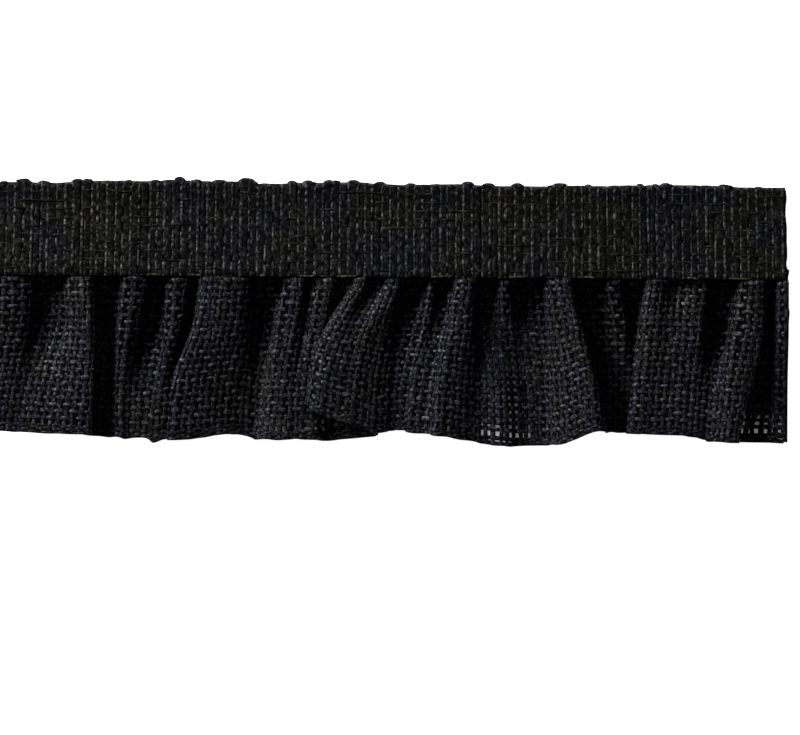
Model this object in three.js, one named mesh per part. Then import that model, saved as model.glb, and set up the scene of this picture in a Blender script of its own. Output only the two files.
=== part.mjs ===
// Elastic ruffle trim: a ribbed elastic band with a gathered cloth ruffle along its lower edge.
// Millimetres. X runs along the trim, +Y points to the band's free edge, +Z up off the surface
// that the trim lies on. The seam between band and ruffle is the line y = 0 until the whole trim
// is moved so that its origin is the middle of its footprint.
import * as THREE from 'three';

// Driving dimensions
const ribCount = 97;
const ribPitch = 0.8835;
const trimLength = ribCount * ribPitch;
const bandWidthLeft = 10.15;
const bandWidthRight = 9.88;
const bandThickness = 1.3;
const ribDepth = 0.35;
const seamGap = 0.3;
const sheetThickness = 1.0;
const sheetHalf = sheetThickness / 2;

// The band lies flat along its free edge, bends, and rises in a straight slope to the seam.
// Both ends of the bend are distances from the seam.
const bandBendTop = 8.3;
const bandBendFoot = 7.1;
const bandSeamRise = 1.9;

// How a fold turns in section
const foldFoot = 0.5;
const foldBulge = 0.22;
const shoulderMost = 1.7;
const shoulderShare = 0.35;
const returnLevel = 0.5;
const lowTurnLevel = 0.25;
const highTurnLevel = 0.8;
// A fold this much higher than its trough has upright sides, and a lower one is a gentle wave
const uprightHeight = 2.4;
const waveFoot = 0.5;
// The inside of a tight turn is squeezed to this share of the turn's radius
const squeezeShare = 0.4;

// Grid of the ruffle sheet: rows crowd towards the seam, where the folds begin
const rowFractions = [0, 0.045, 0.1, 0.2, 0.34, 0.5, 0.66, 0.83, 1];
const columnsPerControl = 1.5;
const gatherFraction = 0.1;
const stations = { seam: 0.1, mid: 0.46, hem: 1 };

// Small loops that stand proud of the band's free edge
const picotColumns = ['x', 'height'];
const picotRows = [
  [-38.1, 0.28], [-36.0, 0.22], [-32.0, 0.28], [-24.1, 0.15], [-21.5, 0.23], [-17.3, 0.22],
  [-14.3, 0.3], [-9.6, 0.27], [-7.9, 0.27], [-5.4, 0.28], [-3.1, 0.25], [-0.2, 0.25],
  [3.0, 0.3], [9.1, 0.3], [11.3, 0.26], [14.3, 0.3], [18.8, 0.25], [21.9, 0.17],
  [27.4, 0.2], [30.1, 0.25], [36.4, 0.2], [40.0, 0.25],
];

// One row per fold, left to right: its outer edges and the height of its sheet's middle at the
// seam, half way down and at the hem, how far its feet tuck under it at the hem, and how far
// below the seam its hem lies at either edge
const foldColumns = [
  'seamLeft', 'seamRight', 'seamLift', 'midLeft', 'midRight', 'midLift',
  'hemLeft', 'hemRight', 'hemLift', 'tuckLeft', 'tuckRight', 'dropLeft', 'dropRight',
];
const foldRows = [
  [-42.8, -36.9, 3.1, -42.8, -37.6, 3.0, -42.8, -38.6, 2.6, 0, 0, 16.5, 16.5],
  [-34.2, -30.6, 3.2, -35.2, -30.2, 3.6, -36.2, -30.4, 3.4, 0, 1.8, 16.6, 16.9],
  [-27.8, -24.7, 3.2, -28.5, -26.0, 2.6, -28.4, -26.2, 1.2, 0, 0, 17.0, 17.2],
  [-23.2, -20.7, 2.9, -24.6, -22.6, 1.8, -25.4, -23.4, 0.7, 0, 0, 17.4, 17.5],
  [-19.5, -13.9, 3.4, -21.8, -15.0, 3.8, -23.4, -15.2, 3.8, 2.8, 0.4, 17.5, 16.6],
  [-10.6, -8.3, 3.1, -12.4, -10.3, 2.8, -12.6, -10.3, 1.7, 0, 0, 17.3, 17.2],
  [-7.1, -4.7, 3.1, -9.2, -7.0, 1.8, -8.9, -6.7, 0.9, 0, 0, 17.2, 17.2],
  [-3.2, -0.9, 3.1, -6.9, -3.4, 3.9, -8.8, -5.0, 4.3, 4.4, 0, 13.3, 14.8],
  [0.0, 2.3, 3.3, -2.4, 1.3, 3.8, -4.0, -0.9, 3.8, 0, 0.4, 15.3, 16.5],
  [4.2, 6.4, 2.7, 2.8, 4.8, 2.4, 1.6, 4.2, 2.7, 0, 0, 16.0, 16.5],
  [7.6, 10.5, 3.4, 6.2, 9.8, 3.7, 5.4, 10.4, 3.1, 0, 0.4, 16.6, 17.3],
  [11.8, 14.2, 2.3, 12.0, 14.5, 1.2, 12.0, 14.8, 0.7, 0, 0, 17.6, 17.6],
  [16.6, 20.3, 3.6, 17.2, 22.3, 4.0, 15.9, 23.3, 3.7, 0.4, 0.3, 17.6, 16.1],
  [23.2, 25.5, 2.9, 23.9, 26.1, 0.9, 23.7, 25.8, 0.5, 0, 0, 16.2, 16.2],
  [27.7, 30.4, 3.3, 26.5, 30.2, 3.8, 25.3, 29.6, 3.7, 2.4, 0, 16.3, 16.3],
  [32.2, 34.9, 3.3, 31.2, 34.2, 3.7, 30.6, 33.8, 3.5, 0, 0, 16.2, 16.7],
  [37.4, 40.4, 3.4, 36.4, 39.9, 3.7, 34.9, 37.8, 3.4, 0, 1.0, 17.1, 17.2],
  [41.3, 42.8, 3.1, 41.1, 42.8, 2.2, 40.9, 42.8, 0.7, 0, 0, 17.2, 17.2],
];

// One row per trough between two folds: the height of the sheet's middle at the three stations
// and how far below the seam the hem lies there
const troughColumns = ['seamFloor', 'midFloor', 'hemFloor', 'drop'];
const troughRows = [
  [0.4, 1.8, 2.3, 16.5],
  [0.4, 0.4, 0.4, 17.0],
  [0.4, 0.4, 0.4, 17.3],
  [1.4, 0.7, 0.4, 17.4],
  [0.4, 0.4, 0.4, 16.9],
  [1.3, 1.1, 0.4, 17.2],
  [0.6, 0.4, 0.4, 17.0],
  [1.7, 3.5, 4.0, 15.0],
  [0.4, 0.4, 0.4, 16.1],
  [0.7, 1.9, 2.5, 16.6],
  [0.4, 0.5, 0.4, 17.6],
  [0.4, 0.5, 0.4, 17.6],
  [0.4, 0.4, 0.4, 16.1],
  [0.4, 0.4, 0.4, 16.2],
  [1.9, 3.4, 3.4, 16.2],
  [0.4, 1.6, 2.6, 17.0],
  [0.4, 0.4, 0.4, 17.2],
];

function namedRows(columns, rows) {
  return rows.map((row) => Object.fromEntries(columns.map((name, i) => [name, row[i]])));
}

const picots = namedRows(picotColumns, picotRows);
const folds = namedRows(foldColumns, foldRows);
const troughs = namedRows(troughColumns, troughRows);

const mix = THREE.MathUtils.lerp;
const smoothStep = (value, low, high) => THREE.MathUtils.smoothstep(value, low, high);

// A smooth value through the three stations, held constant above the first
function alongDrop(seamValue, midValue, hemValue, fraction) {
  const { seam, mid, hem } = stations;
  if (fraction <= seam) return seamValue;
  const upperSlope = (midValue - seamValue) / (mid - seam);
  const lowerSlope = (hemValue - midValue) / (hem - mid);
  const midSlope = (hemValue - seamValue) / (hem - seam);
  const upper = fraction < mid;
  const span = upper ? mid - seam : hem - mid;
  const t = upper ? (fraction - seam) / span : (fraction - mid) / span;
  const [from, to] = upper ? [seamValue, midValue] : [midValue, hemValue];
  const [slopeFrom, slopeTo] = upper ? [upperSlope, midSlope] : [midSlope, lowerSlope];
  const t2 = t * t;
  const t3 = t2 * t;
  return from * (2 * t3 - 3 * t2 + 1) + slopeFrom * span * (t3 - 2 * t2 + t)
    + to * (3 * t2 - 2 * t3) + slopeTo * span * (t3 - t2);
}

// A fold's edges, lift and tucks at one fraction of the way from seam to hem
function foldSection(fold, fraction) {
  const left = alongDrop(fold.seamLeft, fold.midLeft, fold.hemLeft, fraction) + sheetHalf;
  const right = alongDrop(fold.seamRight, fold.midRight, fold.hemRight, fraction) - sheetHalf;
  const lift = alongDrop(fold.seamLift, fold.midLift, fold.hemLift, fraction);
  const tucked = smoothStep(fraction, stations.seam, 1);
  return { left, right, lift, tuckLeft: fold.tuckLeft * tucked, tuckRight: fold.tuckRight * tucked };
}

// The five control points of one side of a fold, from its foot to its shoulder.
// outward is -1 on the left side and +1 on the right side.
function sidePoints(edge, outward, shoulder, lift, floor, tuck, foldDrop, troughDrop) {
  const upright = THREE.MathUtils.clamp((lift - floor) / uprightHeight, 0, 1);
  const foot = foldFoot + mix(waveFoot, 0, upright);
  const lowTurn = mix(waveFoot, -foldBulge, upright);
  const highTurn = mix(-shoulder / 2, foldBulge, upright);
  return [
    { x: edge + outward * (foot - tuck), z: floor, drop: troughDrop },
    { x: edge + outward * (lowTurn - tuck), z: mix(floor, lift, lowTurnLevel), drop: troughDrop },
    { x: edge - outward * tuck / 2, z: mix(floor, lift, returnLevel), drop: mix(troughDrop, foldDrop, 0.5) },
    { x: edge + outward * highTurn, z: mix(floor, lift, highTurnLevel), drop: foldDrop },
    { x: edge - outward * shoulder, z: lift, drop: foldDrop },
  ];
}

// Control points of the whole section at one fraction of the drop. gatherX is where each point
// sits on the seam: spread evenly between the middles of the folds and of the troughs.
function sectionPoints(fraction) {
  const points = [];
  const sections = folds.map((fold) => foldSection(fold, fraction));
  const floors = troughs.map((t) => alongDrop(t.seamFloor, t.midFloor, t.hemFloor, fraction));
  const last = folds.length - 1;
  const crestMiddle = (i) => (folds[i].seamLeft + folds[i].seamRight) / 2;
  const troughMiddle = (i) => (folds[i].seamRight + folds[i + 1].seamLeft) / 2;
  folds.forEach((fold, i) => {
    const { left, right, lift, tuckLeft, tuckRight } = sections[i];
    const shoulder = Math.min(shoulderMost, shoulderShare * Math.max(right - left, 0));
    if (i > 0) {
      const side = sidePoints(left, -1, shoulder, lift, floors[i - 1], tuckLeft,
        fold.dropLeft, troughs[i - 1].drop);
      side.forEach((p, k) => {
        points.push({ ...p, gatherX: mix(troughMiddle(i - 1), crestMiddle(i), (k + 0.5) / side.length) });
      });
    } else {
      points.push({ x: left, z: lift, drop: fold.dropLeft, gatherX: left });
    }
    if (i < last) {
      const side = sidePoints(right, 1, shoulder, lift, floors[i], tuckRight,
        fold.dropRight, troughs[i].drop).reverse();
      side.forEach((p, k) => {
        points.push({ ...p, gatherX: mix(crestMiddle(i), troughMiddle(i), (k + 0.5) / side.length) });
      });
    } else {
      points.push({ x: right, z: lift, drop: fold.dropRight, gatherX: right });
    }
  });
  return points;
}

// A uniform cubic B-spline through the section's control points, ending on its first and last
function splineSample(points, key, position) {
  const last = points.length - 1;
  const value = (i) => {
    if (i < 0) return 2 * points[0][key] - points[-i][key];
    if (i > last) return 2 * points[last][key] - points[2 * last - i][key];
    return points[i][key];
  };
  const i = Math.min(Math.floor(position), last - 1);
  const t = position - i;
  const t2 = t * t;
  const t3 = t2 * t;
  return (value(i - 1) * (1 - 3 * t + 3 * t2 - t3) + value(i) * (4 - 6 * t2 + 3 * t3)
    + value(i + 1) * (1 + 3 * t + 3 * t2 - 3 * t3) + value(i + 2) * t3) / 6;
}

// The middle of the sheet as a grid of points, one array of columns per row
function ruffleMiddle() {
  const seamHeight = bandSeamRise + bandThickness / 2;
  return rowFractions.map((fraction) => {
    const points = sectionPoints(fraction);
    const columnCount = Math.round((points.length - 1) * columnsPerControl);
    const folded = smoothStep(fraction, 0, gatherFraction);
    const row = [];
    for (let c = 0; c <= columnCount; c += 1) {
      const position = (c / columnCount) * (points.length - 1);
      const gatherX = splineSample(points, 'gatherX', position);
      const foldedX = splineSample(points, 'x', position);
      const foldedZ = Math.max(splineSample(points, 'z', position), sheetHalf);
      const drop = splineSample(points, 'drop', position);
      row.push(new THREE.Vector3(
        mix(gatherX, foldedX, folded),
        -mix(seamGap, drop, fraction),
        mix(seamHeight, foldedZ, folded),
      ));
    }
    return row;
  });
}

// The sheet's normal at each grid point: straight up along the seam, level along the hem, and
// square to the cloth between them
function sheetNormal(grid, r, c) {
  if (r === 0) return new THREE.Vector3(0, 0, 1);
  const row = grid[r];
  const along = new THREE.Vector3()
    .subVectors(row[Math.min(c + 1, row.length - 1)], row[Math.max(c - 1, 0)]);
  const down = new THREE.Vector3(0, -1, 0);
  if (r < grid.length - 1) down.subVectors(grid[r + 1][c], grid[r - 1][c]);
  return down.cross(along).normalize();
}

// Radius of the sheet's turn towards one face at a column, or no limit where it turns away
function turnRadius(row, c, side) {
  if (c < 1 || c > row.length - 2) return Infinity;
  const [before, here, after] = [row[c - 1], row[c], row[c + 1]];
  const turn = (here.x - before.x) * (after.z - here.z) - (here.z - before.z) * (after.x - here.x);
  if (turn * side <= 0) return Infinity;
  const sides = before.distanceTo(here) * here.distanceTo(after) * before.distanceTo(after);
  return sides / (2 * Math.abs(turn));
}

// How far a face lies from the sheet's middle: half the thickness, less inside a tight turn
function faceReach(row, c, side) {
  const radius = Math.min(...[-1, 0, 1].map((step) => turnRadius(row, c + step, side)));
  return Math.min(sheetHalf, squeezeShare * radius);
}

// A closed sheet: front and back faces over the grid and a rim round its four sides
function ruffleGeometry() {
  const grid = ruffleMiddle();
  const rowCount = grid.length;
  const columnCount = grid[0].length;
  const positions = [];
  const indices = [];
  for (const side of [1, -1]) {
    for (let r = 0; r < rowCount; r += 1) {
      for (let c = 0; c < columnCount; c += 1) {
        const reach = side * faceReach(grid[r], c, side);
        const p = grid[r][c].clone().addScaledVector(sheetNormal(grid, r, c), reach);
        positions.push(p.x, p.y, Math.max(p.z, 0));
      }
    }
  }
  const at = (back, r, c) => back * rowCount * columnCount + r * columnCount + c;
  const quad = (a, b, c, d) => indices.push(a, b, c, a, c, d);
  for (let r = 0; r < rowCount - 1; r += 1) {
    for (let c = 0; c < columnCount - 1; c += 1) {
      quad(at(0, r, c), at(0, r + 1, c), at(0, r + 1, c + 1), at(0, r, c + 1));
      quad(at(1, r, c), at(1, r, c + 1), at(1, r + 1, c + 1), at(1, r + 1, c));
    }
  }
  const lastRow = rowCount - 1;
  const lastColumn = columnCount - 1;
  for (let c = 0; c < lastColumn; c += 1) {
    quad(at(0, 0, c), at(0, 0, c + 1), at(1, 0, c + 1), at(1, 0, c));
    quad(at(0, lastRow, c), at(1, lastRow, c), at(1, lastRow, c + 1), at(0, lastRow, c + 1));
  }
  for (let r = 0; r < lastRow; r += 1) {
    quad(at(0, r, 0), at(1, r, 0), at(1, r + 1, 0), at(0, r + 1, 0));
    quad(at(0, r, lastColumn), at(0, r + 1, lastColumn), at(1, r + 1, lastColumn), at(1, r, lastColumn));
  }
  const geometry = new THREE.BufferGeometry();
  geometry.setAttribute('position', new THREE.Float32BufferAttribute(positions, 3));
  geometry.setIndex(indices);
  geometry.computeVertexNormals();
  return geometry;
}

// Height of the band's back above the surface at a distance from the seam
function bandRise(fromSeam) {
  const bendMiddle = (bandBendTop + bandBendFoot) / 2;
  const slope = bandSeamRise / bendMiddle;
  if (fromSeam >= bandBendTop) return 0;
  if (fromSeam <= bandBendFoot) return slope * (bendMiddle - fromSeam);
  return slope * (bandBendTop - fromSeam) ** 2 / (2 * (bandBendTop - bandBendFoot));
}

// How far the free edge stands out at x: the small loops of its picots
function picotHeight(x) {
  const nearest = picots.find((p) => Math.abs(p.x - x) < ribPitch);
  return nearest ? nearest.height : 0;
}

// The band: a section with a flat back and a ribbed front, carried from the free edge to the seam
function bandGeometry() {
  const end = trimLength / 2;
  const outline = new THREE.Shape();
  outline.moveTo(-end, 0);
  outline.lineTo(end, 0);
  for (let rib = ribCount - 1; rib >= 0; rib -= 1) {
    const valleyX = -end + (rib + 1) * ribPitch;
    outline.lineTo(valleyX, bandThickness - ribDepth);
    outline.lineTo(valleyX - ribPitch / 2, bandThickness);
  }
  outline.lineTo(-end, bandThickness - ribDepth);
  outline.closePath();
  const lowerRows = [bandBendTop, (bandBendTop + bandBendFoot) / 2, bandBendFoot, 0];
  const steps = lowerRows.length;
  const geometry = new THREE.ExtrudeGeometry(outline, { depth: steps, steps, bevelEnabled: false });
  const position = geometry.attributes.position;
  for (let i = 0; i < position.count; i += 1) {
    const x = position.getX(i);
    const thickness = position.getY(i);
    const step = Math.round(position.getZ(i));
    const width = mix(bandWidthLeft, bandWidthRight, (x + end) / trimLength);
    const loop = thickness > bandThickness - ribDepth / 2 ? picotHeight(x) : 0;
    const fromSeam = step === 0 ? width + loop : lowerRows[step - 1];
    position.setXYZ(i, x, fromSeam, thickness + bandRise(fromSeam));
  }
  geometry.computeVertexNormals();
  return geometry;
}

const bandMaterial = new THREE.MeshStandardMaterial({ color: 0x19191a, roughness: 0.85, metalness: 0 });
const ruffleMaterial = new THREE.MeshStandardMaterial({ color: 0x151417, roughness: 0.8, metalness: 0 });

const band = new THREE.Mesh(bandGeometry(), bandMaterial);
band.name = 'elastic_band';
const ruffle = new THREE.Mesh(ruffleGeometry(), ruffleMaterial);
ruffle.name = 'ruffle';

// The origin is the middle of the footprint, on the surface that the trim lies on
const trim = new THREE.Group();
trim.add(band, ruffle);
const footprint = new THREE.Box3().setFromObject(trim);
const middle = footprint.getCenter(new THREE.Vector3());
trim.position.set(-middle.x, -middle.y, -footprint.min.z);

export default trim;
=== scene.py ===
import math
from collections import namedtuple

import bpy
import numpy as np
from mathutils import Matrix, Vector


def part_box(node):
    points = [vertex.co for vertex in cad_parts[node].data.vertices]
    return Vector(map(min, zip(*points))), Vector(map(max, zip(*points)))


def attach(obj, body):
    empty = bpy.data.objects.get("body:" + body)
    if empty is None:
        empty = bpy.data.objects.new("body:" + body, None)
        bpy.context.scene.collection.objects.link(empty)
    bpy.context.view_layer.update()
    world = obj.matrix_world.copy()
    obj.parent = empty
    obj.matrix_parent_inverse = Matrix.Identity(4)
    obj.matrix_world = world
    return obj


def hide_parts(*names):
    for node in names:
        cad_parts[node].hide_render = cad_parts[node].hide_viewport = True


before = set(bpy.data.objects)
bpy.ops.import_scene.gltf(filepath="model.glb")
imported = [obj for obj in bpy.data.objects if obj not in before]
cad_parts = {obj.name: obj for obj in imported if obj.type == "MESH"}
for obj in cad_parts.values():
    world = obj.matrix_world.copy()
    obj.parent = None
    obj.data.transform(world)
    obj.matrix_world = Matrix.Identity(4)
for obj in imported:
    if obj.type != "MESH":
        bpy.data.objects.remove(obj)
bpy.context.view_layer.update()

# Elastic ruffle trim: a ribbed elastic band with a gathered, loosely woven ruffle sewn under its
# lower edge. Sizes and places are millimetres in the trim's own frame until a mesh is made.
MM = 0.001
BAND_LOW, BAND_HIGH = (np.array(corner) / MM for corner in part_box("elastic_band"))
SEAM_Y = BAND_LOW[1]
TRIM_END = BAND_HIGH[0]
rng = np.random.default_rng(11)

# Places down the cloth are fractions of its drop, from the seam (0) to the hem (1). Folds are
# given at four stations, and the cloth runs on above the seam, under the band.
STATIONS = np.array([0.05, 0.3, 0.6, 1.0])
UNDER_BAND = -0.08

# The usual drop, how far below the band's edge it starts, and how far the cloth's middle surface
# stays off the floor, off the band and inside the edges of its folds
USUAL_DROP = 17.0
SEAM_GAP = 0.06
CLOTH_HALF = 0.17

# How the cloth meets the band's back: the fractions between which it leaves the back and, counted
# upward, those between which it comes to lie flat on it, the gap between the two, and the height
# from which the gathers under the band are measured and the share of their depth that is left
LEAVES_BACK = (-0.012, -0.001)
FLAT_ON_BACK = (0.015, 0.065)
BACK_GAP = 0.05
GATHER_TOP = 3.4
GATHER_DEPTH = 0.4

# One fold of the ruffle: left and right edge of its crest and the crest's height at each edge, at
# the four stations, how far its two feet tuck under it at the hem, and the hem's drop at its edges
Fold = namedtuple("Fold", "left right left_lift right_lift tuck drop")

# Left to right
FOLDS = [
    Fold((-42.8, -42.8, -42.8, -42.8), (-36.7, -37.0, -38.0, -39.4),
         (3.1, 3.1, 3.0, 2.7), (2.8, 2.6, 2.6, 2.6), (0, 0), (16.5, 16.5)),
    Fold((-33.9, -33.7, -34.9, -36.6), (-30.1, -29.9, -29.7, -29.9),
         (2.7, 2.5, 2.4, 2.4), (3.4, 3.6, 3.5, 3.3), (0, 1.8), (16.6, 16.75)),
    Fold((-27.9, -28.2, -28.4, -28.4), (-24.4, -25.2, -26.4, -26.8),
         (3.0, 2.9, 2.0, 1.5), (3.0, 2.5, 1.6, 1.1), (0, 0), (17.0, 17.2)),
    Fold((-23.1, -23.2, -23.9, -24.6), (-20.1, -20.9, -22.5, -23.4),
         (2.7, 2.3, 1.3, 0.9), (3.0, 2.4, 1.3, 0.9), (0, 0), (17.65, 17.5)),
    Fold((-19.5, -20.3, -22.4, -23.3), (-13.5, -13.6, -14.0, -14.2),
         (3.8, 4.0, 4.1, 4.1), (3.0, 2.6, 2.0, 1.7), (2.4, 0), (17.3, 16.6)),
    Fold((-10.7, -11.5, -12.4, -13.0), (-7.9, -8.5, -9.4, -10.2),
         (2.9, 2.8, 2.6, 2.6), (3.2, 3.1, 2.8, 2.6), (0, 0), (17.15, 17.2)),
    Fold((-7.2, -7.9, -8.7, -8.7), (-4.7, -5.5, -6.5, -6.4),
         (2.9, 2.7, 2.5, 2.4), (3.3, 2.8, 2.5, 2.4), (0, 0), (17.2, 17.2)),
    Fold((-3.2, -5.7, -7.8, -8.8), (-1.2, -3.4, -5.1, -6.0),
         (3.4, 3.7, 3.8, 3.9), (3.2, 4.0, 4.4, 4.6), (8.6, 0), (13.3, 14.3)),
    Fold((0.2, -1.4, -3.1, -3.8), (2.6, 1.5, 0.9, 0.6),
         (3.1, 3.4, 3.9, 4.2), (2.9, 2.6, 2.9, 3.3), (0, 0), (15.35, 16.4)),
    Fold((4.6, 4.1, 3.0, 2.2), (6.0, 5.2, 3.7, 2.9),
         (2.4, 2.1, 2.1, 2.4), (2.5, 2.1, 2.2, 2.5), (0, 0), (16.1, 16.3)),
    Fold((7.4, 6.8, 5.7, 5.0), (10.3, 10.2, 10.2, 10.2),
         (3.5, 3.9, 4.2, 4.3), (3.6, 3.4, 3.0, 2.8), (0, 0), (16.7, 17.2)),
    Fold((12.2, 12.2, 12.8, 13.2), (13.9, 14.6, 15.4, 15.8),
         (2.8, 1.5, 1.5, 1.4), (2.9, 1.0, 0.5, 0.5), (0, 0), (17.8, 17.8)),
    Fold((17.0, 17.3, 17.5, 17.5), (20.5, 21.5, 22.9, 24.0),
         (2.9, 2.3, 1.7, 1.4), (3.9, 4.4, 4.7, 4.6), (0.4, 0), (17.6, 16.0)),
    Fold((23.5, 24.4, 24.4, 24.3), (25.7, 26.3, 26.1, 25.8),
         (2.9, 1.3, 0.6, 0.5), (3.2, 1.6, 0.6, 0.5), (0, 0), (16.2, 16.2)),
    Fold((27.7, 26.9, 26.1, 25.3), (30.5, 30.4, 30.0, 29.6),
         (3.6, 3.9, 3.9, 3.8), (2.9, 3.2, 3.5, 3.6), (2.2, 0), (16.3, 16.4)),
    Fold((32.0, 31.6, 31.1, 30.6), (35.0, 34.6, 34.2, 33.8),
         (2.3, 3.0, 3.5, 3.6), (2.7, 3.0, 3.2, 3.4), (0, 0), (16.4, 16.6)),
    Fold((37.4, 36.8, 35.6, 34.9), (40.9, 40.8, 39.7, 38.4),
         (3.1, 3.4, 3.4, 3.3), (3.6, 3.8, 3.8, 3.6), (0, 1.0), (17.1, 17.2)),
    Fold((41.6, 41.5, 41.3, 40.9), (43.1, 43.15, 43.2, 43.3),
         (3.1, 2.8, 1.5, 0.7), (3.1, 2.8, 1.5, 0.7), (0, 0), (17.2, 17.3)),
]

# One row per trough between two folds: its height at the four stations, and the hem's drop at its
# left and right foot
Trough = namedtuple("Trough", "height drop")
TROUGHS = [
    Trough((0.3, 0.5, 1.9, 2.3), (16.5, 16.5)),
    Trough((0.3, 0.3, 0.3, 0.3), (16.8, 17.0)),
    Trough((0.3, 0.5, 1.0, 1.0), (17.1, 17.1)),
    Trough((0.8, 0.8, 0.8, 0.7), (17.3, 17.3)),
    Trough((0.3, 0.3, 1.0, 1.5), (17.0, 17.2)),
    Trough((1.9, 2.0, 2.5, 2.6), (17.15, 17.1)),
    Trough((1.6, 1.0, 0.4, 0.3), (17.3, 16.8)),
    Trough((1.7, 3.4, 4.1, 4.3), (14.9, 15.1)),
    Trough((0.4, 1.2, 2.0, 2.3), (16.2, 16.1)),
    Trough((0.8, 1.5, 2.3, 2.7), (16.4, 16.5)),
    Trough((0.3, 1.2, 2.1, 2.1), (17.5, 17.7)),
    Trough((0.3, 0.3, 0.3, 0.3), (17.75, 17.75)),
    Trough((0.3, 0.3, 0.3, 0.3), (16.3, 16.2)),
    Trough((0.3, 0.3, 0.3, 0.3), (16.2, 16.3)),
    Trough((1.9, 3.0, 3.4, 3.5), (16.4, 16.4)),
    Trough((0.3, 0.4, 2.5, 3.1), (16.9, 17.1)),
    Trough((0.3, 0.3, 0.3, 0.4), (17.2, 17.2)),
]

# How a fold turns in section. A tall fold has upright sides that bulge over its feet, and a low
# one is a soft wave, whose feet reach further. The foot and the point above it, the ankle, keep
# within half the room to the next fold.
UPRIGHT_HEIGHT = 2.4
FOLD_FOOT = 0.5
WAVE_FOOT = 0.5
FOOT_GAP = 0.04
ANKLE_SHARE = 0.7
FOLD_BULGE = 0.22
EDGE_OUT = 0.15
LEFT_EASE = 0.15
RIGHT_EASE = 0.5
SHOULDER_MOST = 1.7
SHOULDER_SHARE = 0.35

# Heights of a side's lower four points as shares of its rise, and how far each of its five points
# has gone from the hem's drop at the trough to that at the fold
LEVELS = (0.0, 0.25, 0.5, 0.85)
DROP_SHARES = (0, 0, 0.5, 1, 1)

# Weave: wefts run from the band to the hem and warps run along the trim
WEFT_PITCH = 0.77
WARP_PITCH = 0.75
WEFT_WIDTH = 0.56
WARP_WIDTH = 0.48
YARN_THICKNESS = 0.13
WEFT_CRIMP = 0.02
WARP_CRIMP = 0.085
FIRST_WARP = 0.01
HEM_YARNS = 4
HEM_PITCH = 0.24
HEM_YARN_SPREAD = 1.3
HEM_NARROWS = (0.94, 0.97)
HEM_WEFT_SHARE = 0.8
RINGS_PER_CROSSING = 4
YARN_SIDES = 6

# Unevenness of the yarns: how far a weft strays, and for each drift along a yarn the rings from
# one random value to the next and the values' spread
WEFT_STRAY = 0.05
WEFT_WANDER = (9, 0.05)
WEFT_SWELL = (5, 0.12)
WARP_WANDER = (14, 0.0028)
WARP_SWELL = (5, 0.13)
THICKNESS_SWELL = (6, 0.07)

# The dark sheet in the middle of the weave that paints shade into its holes: rows, column width,
# half thickness, and how far it stays short of the hem and of the cut ends
SHADE_SHEET_ROWS = 60
SHADE_SHEET_STEP = 0.21
SHADE_SHEET_HALF = 0.03
SHADE_SHEET_SHORT_OF_HEM = 0.006
SHADE_SHEET_SHORT_OF_END = 0.05

# Panels where the painted shade sheet lets the weave's holes show the floor, if the cloth is lower
# than a height. From x, to x, distance below the seam from which they do, and the share of light
# let through there and at the hem. The blur is the width over which a panel fades in.
OPEN_BELOW = 2.7
OPEN_PANELS = [
    (10.9, 16.1, 5.0, 0.01, 0.06),
    (10.9, 13.4, 15.4, 0.16, 0.42),
    (13.4, 16.1, 15.6, 0.05, 0.2),
    (37.6, 42.6, 14.6, 0.05, 0.22),
    (-12.6, -10.4, 15.0, 0.03, 0.1),
    (-8.6, -6.4, 15.0, 0.03, 0.1),
    (7.9, 9.5, 14.6, 0.02, 0.08),
]
OPEN_BLUR = 0.5


def mesh_object(name, points, faces, material, uv=None):
    """A smooth mesh from points in millimetres, none below the surface that the trim lies on, and
    a list of face arrays of one size each."""
    points = np.concatenate([points[:, :2], np.maximum(points[:, 2:], 0)], axis=1)
    mesh = bpy.data.meshes.new(name)
    sizes = np.concatenate([np.full(len(part), part.shape[1]) for part in faces])
    corners = np.concatenate([part.ravel() for part in faces]).astype(np.int32)
    starts = np.concatenate([[0], np.cumsum(sizes)[:-1]]).astype(np.int32)
    mesh.vertices.add(len(points))
    mesh.vertices.foreach_set("co", (points * MM).astype(np.float32).ravel())
    mesh.loops.add(len(corners))
    mesh.loops.foreach_set("vertex_index", corners)
    mesh.polygons.add(len(sizes))
    mesh.polygons.foreach_set("loop_start", starts)
    mesh.polygons.foreach_set("use_smooth", np.ones(len(sizes), dtype=bool))
    if uv is not None:
        layer = mesh.uv_layers.new(name="along")
        layer.data.foreach_set("uv", uv[corners].astype(np.float32).ravel())
    mesh.update(calc_edges=True)
    mesh.validate()
    piece = bpy.data.objects.new(name, mesh)
    bpy.context.collection.objects.link(piece)
    mesh.materials.append(material)
    return piece


def unit(vectors):
    return vectors / np.maximum(np.linalg.norm(vectors, axis=-1, keepdims=True), 1e-9)


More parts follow.
